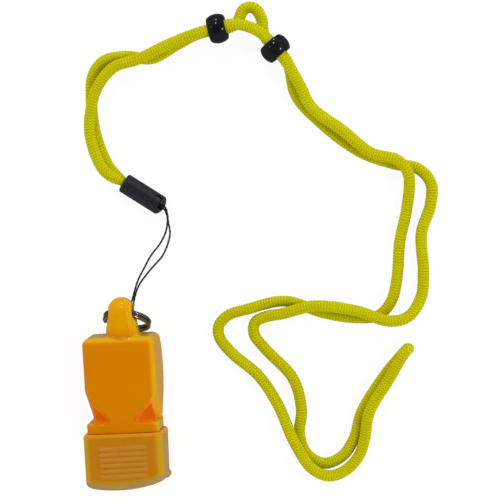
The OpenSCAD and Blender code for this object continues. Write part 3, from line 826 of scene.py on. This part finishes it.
def keep_number(piece, name, numbers):
    """Keeps one number for each point of a piece, for its finish to read."""
    kept = piece.data.attributes.new(name, "FLOAT", "POINT")
    kept.data.foreach_set("value", numbers.astype(np.float32))


def smooth_shading(piece, solid, points):
    """Gives each point the slope of its distance formula as its normal."""
    slope = slope_of(solid, points)
    slope /= np.linalg.norm(slope, axis=1)[:, None]
    piece.data.normals_split_custom_set_from_vertices(slope.tolist())


# %% The body's finish
def orange_plastic(name, always_inner_painted_glow=0):
    """The glossy orange, with light and shade painted into it. Inner runs from 0 on the outside to 1 on
    the walls of a room, which are painted a dark red and given a painted red glow, for the red light
    that comes through the plastic. It is kept on the points, or always the same."""
    material, start = new_tree(name)
    point = object_point(start)
    painted_bounce_red, turned = attribute(start, "painted_bounce_red"), attribute(start, "turned")
    inner = attribute(start, "inner") + always_inner_painted_glow
    flow = cloud(start, point, 70, 3.0)
    peel = cloud(start, point, 1400, 1.0)
    scuff = cloud(start, point, 420, 5.0)
    # Height in the room, for a painted glow that is stronger higher up.
    glow_painted_by_height = part_of(start, point, "Z").clamped(0.006, 0.017)
    # Painted light: the lug is painted a yellower orange, for the light that shines through it.
    lug_painted_glow = part_of(start, point, "Y").clamped(0.0165, 0.0205)
    orange = flow.between((0.575, 0.18, 0.0, 1), (0.64, 0.212, 0.0, 1))
    orange = lug_painted_glow.between(orange, (0.68, 0.31, 0.0, 1))
    # Painted light: walls turned to the light from the right and from the lug's end are painted yellow.
    colour = turned.clamped(-0.02, 0.28).between(orange, (0.65, 0.335, 0.0, 1))
    # Painted bounce light: inner corners away from the room are painted a brighter red.
    colour = painted_bounce_red.clamped(0.05, 0.16).between(colour, (0.68, 0.17, 0.0, 1))
    # Painted light inside the room: its walls are painted a dark red and glow red with emission, more so
    # higher up, though they are no lamp.
    colour = inner.between(colour, (0.50, 0.10, 0.0, 1))
    glow = (inner * (0.45 + glow_painted_by_height * 0.15 + flow * 0.3)).between((0, 0, 0, 1), (0.56, 0.155, 0.002, 1))
    finish_surface(start, colour, 0.07 + scuff * 0.07 + inner * 0.5, peel, 0.000004,
                   {"Specular IOR Level": 0.16, "Emission Strength": 1.0}, {"Emission Color": glow})
    return material


body_finish = orange_plastic("orange_plastic")
inside_finish = orange_plastic("orange_plastic_inside_painted_glow", always_inner_painted_glow=0.8)

# %% The body
# Sizes of the painted light: light_ numbers for the yellow of walls turned to the right and to the lug's
# end, beside_ numbers keep it off the walls beside the windows, inner_ and room_rim_ numbers for the red
# glow in the room, bend_ numbers for the red of inner corners.
light_level, light_gain, light_from_end, least_slope = 0.55, 0.9, 0.7, 0.02
beside_y, beside_x, beside_fade = 2, 9.4, 0.8
inner_from, inner_fade, room_rim_glow, room_rim_fade = 0.3, 0.7, 0.8, 1.5
bend_reach, bend_from_room = 0.8, 1.9

whistle_body = new_piece("whistle_body", body_points, [body_faces], body_finish, "whistle")
x, y, z = body_points.T
from_room = body_room(x, y, z)
slope = slope_of(body, body_points)
sideways = np.hypot(slope[:, 0], slope[:, 1])
lean_to_light = (slope[:, 0] + light_from_end * slope[:, 1]) / (sideways + least_slope)
painted_yellow_share = np.clip(light_level + light_gain * lean_to_light, 0, 1)
beside_window = np.clip(beside_y - y, 0, 1) * np.clip((beside_x - np.abs(x)) / beside_fade, 0, 1)
away_from_room = np.clip(from_room - bend_from_room, 0, 1)
depth_in = np.clip((-body_outside(x, y, z) - inner_from) / inner_fade, 0, 1)
rim_of_room = room_rim_glow * np.clip(1 - from_room / room_rim_fade, 0, 1)
# Kept for the finish: the painted red of inner corners, the painted yellow of walls turned to the light,
# and the painted red glow inside the room.
keep_number(whistle_body, "painted_bounce_red", -bend_of(body, body_points, bend_reach) * away_from_room)
keep_number(whistle_body, "turned", painted_yellow_share * np.clip(1 - slope[:, 2], 0, 1) * (1 - beside_window))
keep_number(whistle_body, "inner", np.maximum(depth_in, rim_of_room))
smooth_shading(whistle_body, body, body_points)
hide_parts("front_shell", "belly_shell")
# The parts inside the room get the painted red glow all over.
for node in ("divider_left", "divider_right", "windway_block"):
    for place in frame["nodes"][node].material_slots:
        place.material = inside_finish

# %% [markdown]
# ## Mouth grip
# A sleeve of soft, frosted silicone is pulled over the mouthpiece. Six ribs across its front help the
# thumb, and a lip below its mouth end helps the teeth. The orange shows through where the sleeve is thin,
# at the front. Over the mouthpiece's rounded edges it is painted yellow, painted light for the glow
# there, and where the sleeve is seen along its length it keeps its own tan. So the colour follows how far
# the surface faces the front. Its upper rim is thin and rounded: it is painted a lighter orange and given
# a faint painted glow, which stands in for the light it lets through and keeps the corner under it from
# falling into shade.

# %% The grip's formula
grip_inner, grip_outer, grip_side = -0.25, 1.4, 1.1
rib_first_y, rib_pitch, rib_count, rib_half, rib_r, rib_rise = -23.9, 1.65, 6, 7.2, 0.7, 0.35
rib_skew = 0.022
lip_y, lip_r, lip_drop, lip_shift = -26.1, 1.2, 1.8, 0.3
grip_under_r, grip_mouth_r, grip_rim_r, grip_side_r = 2.2, 1.3, 1.2, 0.1
rib_foot_r, lip_side_r, lip_foot_r, hollow_r, hollow_edge_r = 0.35, 1.2, 0.6, 0.6, 0.3
set_back, hollow_past_mouth, hollow_past_rim = 0.2, 9, 5


def grip(x, y, z):
    """The mouthpiece grown outwards, with ribs and a lip, less the mouthpiece grown a hair."""
    sleeve = wedge(x, y, z, grip_outer, grip_under_r, grip_end_y + set_back, rim_y, grip_mouth_r,
                   grip_rim_r)
    sleeve = shared(sleeve, np.abs(x) - half_w - grip_side, grip_side_r)
    leaning = y - rib_skew * x
    nearest = np.clip(np.round((leaning - rib_first_y) / rib_pitch), 0, rib_count - 1)
    rib_dy = leaning - rib_first_y - nearest * rib_pitch
    rib_dz = z - (front_z + grip_outer + rib_rise - rib_r)
    rib_dx = np.maximum(np.abs(x) - rib_half + rib_r, 0)
    ribs = np.sqrt(rib_dx**2 + rib_dy**2 + rib_dz**2) - rib_r
    lip_z = throat_z + (throat_y - lip_y) * under_slope - grip_outer - lip_drop + lip_r
    lip_dz = np.maximum(lip_z - z, 0) + np.maximum(z - lip_z - lip_drop, 0)
    lip = np.hypot(y - lip_y - lip_shift, lip_dz) - lip_r
    lip = shared(lip, np.abs(x) - half_w - grip_outer, lip_side_r)
    whole = joined(joined(sleeve, ribs, rib_foot_r), lip, lip_foot_r)
    hollow = wedge(x, y, z, grip_inner, hollow_r, grip_end_y - hollow_past_mouth, rim_y + hollow_past_rim)
    return cut(whole, hollow, hollow_edge_r)


grip_low, grip_high, grip_cell = (-12.9, -29.2, 3.6), (12.9, -10.8, 20.4), 0.27
grip_points, grip_faces = skin(grip, grip_low, grip_high, grip_cell)
print("grip:", len(grip_points), "points, lowest", round(grip_points[:, 2].min(), 3))

# %% The grip's finish
grip_finish, start = new_tree("frosted_silicone")
point = object_point(start)
facing, mouth, rim = attribute(start, "facing"), attribute(start, "mouth"), attribute(start, "rim")
mist = cloud(start, point, 240, 3.0)
frost = cloud(start, point, 3000, 2.0)
tan = mist.between((0.40, 0.235, 0.07, 1), (0.47, 0.29, 0.09, 1))
# Painted light: where the surface turns from the front, over the mouthpiece's rounded edges, the sleeve
# is painted yellow.
painted_edge_yellow = facing.clamped(0.2, 0.6).between(tan, (0.55, 0.31, 0.0, 1))
through = mist.between((0.505, 0.178, 0.0, 1), (0.57, 0.206, 0.0, 1))
through = part_of(start, point, "Z").clamped(0.01942, 0.01965).between(through, (0.56, 0.22, 0.014, 1))
through = (mouth * 0.5).clamped(0.0, 0.16).between(through, (0.50, 0.26, 0.0, 1))
colour = facing.clamped(0.80, 0.995).between(painted_edge_yellow, through)
colour = mouth.clamped(0.45, 0.75).between(colour, tan)
# Painted light: the rim's slopes that face the front are painted a lighter orange, so the corner under it
# does not look shaded.
colour = (rim * facing.clamped(-0.2, 0.4)).between(colour, (0.58, 0.21, 0.0, 1))
# Painted glow: the rim's end face glows orange with emission, though it is no lamp, against the shade in
# the corner under it.
rim_painted_glow = (rim * (1 - facing.clamped(0.3, 0.9))).between((0, 0, 0, 1), (0.16, 0.05, 0.0, 1))
finish_surface(start, colour, 0.42 + frost * 0.2, frost, 0.00002,
               {"Specular IOR Level": 0.12, "Emission Strength": 1.0},
               {"Alpha": 0.97 - facing * 0.12 + mist * 0.04, "Emission Color": rim_painted_glow})

# %% The grip
hard_end_gap, mouth_fade, rim_band = 0.6, 2, 1.2

mouth_grip = new_piece("grip", grip_points, [grip_faces], grip_finish, "grip")
x, y, z = grip_points.T
hard_end = mouth_y + hard_end_gap + mouth_bow * (x - mouth_bow_x) ** 2
keep_number(mouth_grip, "facing", np.maximum(slope_of(grip, grip_points)[:, 2], 0))
keep_number(mouth_grip, "mouth", np.clip((hard_end - y + mouth_fade / 2) / mouth_fade, 0, 1))
keep_number(mouth_grip, "rim", np.clip(y - rim_y + rim_band, 0, 1))
smooth_shading(mouth_grip, grip, grip_points)
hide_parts("mouth_grip")

# %% [markdown]
# ## Ferrule
# A black eight-sided sleeve grips the two cord ends. It has a chamfered mouth, a domed nose with a hole
# for the string, a small window through which its plug shows, and a notch cut out of the nose. It is
# worked out in its own directions, along its axis, and then laid down beside the whistle.

# %% The ferrule's formula
ferrule_mouth = np.array([2.5, 62.0, 2.9])
ferrule_heading = math.radians(-35)
ferrule_len, ferrule_half, ferrule_bore_r, string_hole_r = 14.3, 2.9, 2.3, 0.8
bore_len, nose_r, chamfer = 12.15, 4.2, 0.5
ferrule_window_at, ferrule_window_half = 11.5, (1.1, 0.6)
notch_half = 0.9
flat_r, nose_edge_r, chamfer_r, ferrule_mouth_r = 0.3, 0.3, 0.1, 0.15
ferrule_bore_edge_r, string_hole_edge_r, ferrule_window_r, notch_r = 0.06, 0.2, 0.12, 0.15


def ferrule(x, y, z):
    """x runs along the axis, z is up: eight flats within a sphere, less bore, hole, window, notch."""
    flats = np.abs(y) - ferrule_half
    for eighth in (1, 2, 3):
        turn = eighth * math.pi / 4
        flat = np.abs(y * math.cos(turn) + z * math.sin(turn)) - ferrule_half
        flats = shared(flats, flat, flat_r)
    round_nose = np.sqrt(np.maximum(x - ferrule_len + nose_r, 0) ** 2 + y**2 + z**2) - nose_r
    mouth = (np.hypot(y, z) - x - ferrule_half / math.cos(math.pi / 8) + chamfer) / math.sqrt(2)
    bar = shared(shared(flats, round_nose, nose_edge_r), mouth, chamfer_r)
    bar = shared(bar, -x, ferrule_mouth_r)
    bore = np.maximum(np.hypot(y, z) - ferrule_bore_r, x - bore_len)
    bar = cut(bar, bore, ferrule_bore_edge_r)
    bar = cut(bar, np.hypot(y, z) - string_hole_r, string_hole_edge_r)
    out, over = (y + z) / math.sqrt(2), (y - z) / math.sqrt(2)
    window = np.maximum(np.abs(x - ferrule_window_at) - ferrule_window_half[0],
                        np.maximum(np.abs(over) - ferrule_window_half[1], -out))
    notch = np.maximum(np.abs(y) - notch_half, np.maximum(ferrule_len - notch_half * 2 - x, -z))
    return cut(cut(bar, window, ferrule_window_r), notch, notch_r)


def laid_down(points):
    """From the ferrule's own directions to its place on the table."""
    along = np.array([math.cos(ferrule_heading), math.sin(ferrule_heading), 0])
    aside = np.array([-math.sin(ferrule_heading), math.cos(ferrule_heading), 0])
    return ferrule_mouth + points[:, :1] * along + points[:, 1:2] * aside + points[:, 2:] * [0, 0, 1]


ferrule_low, ferrule_high, ferrule_cell = (-0.4, -3.4, -3.4), (14.8, 3.4, 3.4), 0.14
ferrule_points, ferrule_faces = skin(ferrule, ferrule_low, ferrule_high, ferrule_cell)
print("ferrule:", len(ferrule_points), "points")

# %% The ferrule's finish
ferrule_finish, start = new_tree("satin_black")
point = object_point(start)
scuff = cloud(start, point, 900, 4.0)
mould = cloud(start, point, 3500, 2.0)
tone = scuff.between((0.008, 0.010, 0.014, 1), (0.020, 0.023, 0.032, 1))
finish_surface(start, tone, 0.26 + scuff * 0.16, mould, 0.000015)

# %% The ferrule and what it hides
sleeve = new_piece("ferrule", laid_down(ferrule_points), [ferrule_faces], ferrule_finish, "whistle")
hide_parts("ferrule_sleeve")
core_finish, start = new_tree("grey_plug")
point = object_point(start)
speck = cloud(start, point, 1800, 2.0)
tone = speck.between((0.030, 0.032, 0.036, 1), (0.055, 0.057, 0.06, 1))
finish_surface(start, tone, 0.45 + speck * 0.1, speck, 0.00002)
for place in frame["nodes"]["ferrule_core"].material_slots:
    place.material = core_finish

# %% [markdown]
# ## The string's knot
# Inside the ferrule both ends of the string are tied in one small overhand knot, which is too big for
# the hole in the plug. Its line is a trefoil curve, swept with the string's own thickness.

# %% The knot
knot_depth, knot_d, knot_sides = 5.6, 1.9, 8
trefoil_depth, trefoil_reach = 1.6, 3
angle = np.linspace(0, 2 * np.pi, 73)
trefoil = np.stack([np.sin(angle) + 2 * np.sin(2 * angle), np.cos(angle) - 2 * np.cos(2 * angle),
                    -trefoil_depth * np.sin(3 * angle)], axis=1)
trefoil *= (knot_d - string_d) / 2 / trefoil_reach
knot_path = laid_down(trefoil[:, [2, 0, 1]] + [knot_depth, 0, 0])
knot_points, knot_faces = tube(knot_path, np.full((len(angle), knot_sides), string_d / 2))
knot = new_piece("knot", knot_points, knot_faces, string_finish, "whistle")
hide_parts("string_knot")

# %% [markdown]
# ## Beads
# Two glossy black beads slide on both strands and close the loop round the neck. Each is a ball with
# flat ends and a wide bore, turned from one outline, so it is a profile carried round an axis. The
# outline's corners are rounded, because the bead's rim is where it catches the light.

# %% A turned bead
bead_r, bead_half, bead_bore_r, bead_edge_r = 4.4, 3.65, 3.15, 0.55
bead_rays, halvings, past_outline = 80, 40, 6.0


def turned_bead(centre, toward, steps=72):
    """Distance-formula outline (ball, flat ends, bore) walked round by angle, carried round the axis.
    The outline starts from the middle of the wall, and each ray finds the outline by halving."""
    rays = np.linspace(0, 2 * np.pi, bead_rays, endpoint=False)
    middle = (bead_bore_r + bead_r) / 2
    near, far = np.zeros(bead_rays), np.full(bead_rays, past_outline)
    for _ in range(halvings):
        half = (near + far) / 2
        a, r = half * np.cos(rays), middle + half * np.sin(rays)
        wall = shared(np.hypot(a, r) - bead_r, np.abs(a) - bead_half, bead_edge_r)
        inside = cut(wall, r - bead_bore_r, bead_edge_r) < 0
        near, far = np.where(inside, half, near), np.where(inside, far, half)
    along, radius = near * np.cos(rays), middle + near * np.sin(rays)
    axis = np.array([*toward, 0]) / math.hypot(*toward)
    aside, up = np.array([-axis[1], axis[0], 0]), np.array([0, 0, 1])
    turn = np.arange(steps) / steps * 2 * np.pi
    ring = np.cos(turn)[:, None] * aside + np.sin(turn)[:, None] * up
    points = centre + along[None, :, None] * axis + radius[None, :, None] * ring[:, None]
    corner = np.arange(points.shape[0] * points.shape[1]).reshape(points.shape[:2])
    onward, beside = np.roll(corner, -1, axis=0), np.roll(corner, -1, axis=1)
    both = np.roll(onward, -1, axis=1)
    return points.reshape(-1, 3), np.stack([corner, beside, both, onward], axis=-1).reshape(-1, 4)


# %% The beads' finish
bead_finish, start = new_tree("glossy_black")
point = object_point(start)
wipe = cloud(start, point, 500, 3.0)
tone = wipe.between((0.004, 0.004, 0.006, 1), (0.010, 0.010, 0.014, 1))
finish_surface(start, tone, 0.13 + wipe * 0.08, wipe, 0.00001, {"Specular IOR Level": 0.25})

# %% The beads
for name, centre, toward in (("first_bead", (33.44, 106.08, 4.35), (11, 2)),
                             ("second_bead", (50.25, 99.25, 4.35), (6.5, -8.5))):
    bead_points, bead_faces = turned_bead(np.array(centre), toward)
    new_piece(name, bead_points, [bead_faces], bead_finish, name)
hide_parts("bead_first")
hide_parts("bead_second")

# %% [markdown]
# ## The cords
# The neck cord leaves the ferrule's mouth and goes back into it. The string leaves the ferrule and comes
# back to it round the split ring. The cell below prints the string's length.

# %% Cords
print("the string is", round(string_run[-1], 1), "mm long")

# %% The view transform
bpy.context.scene.view_settings.view_transform = "Standard"
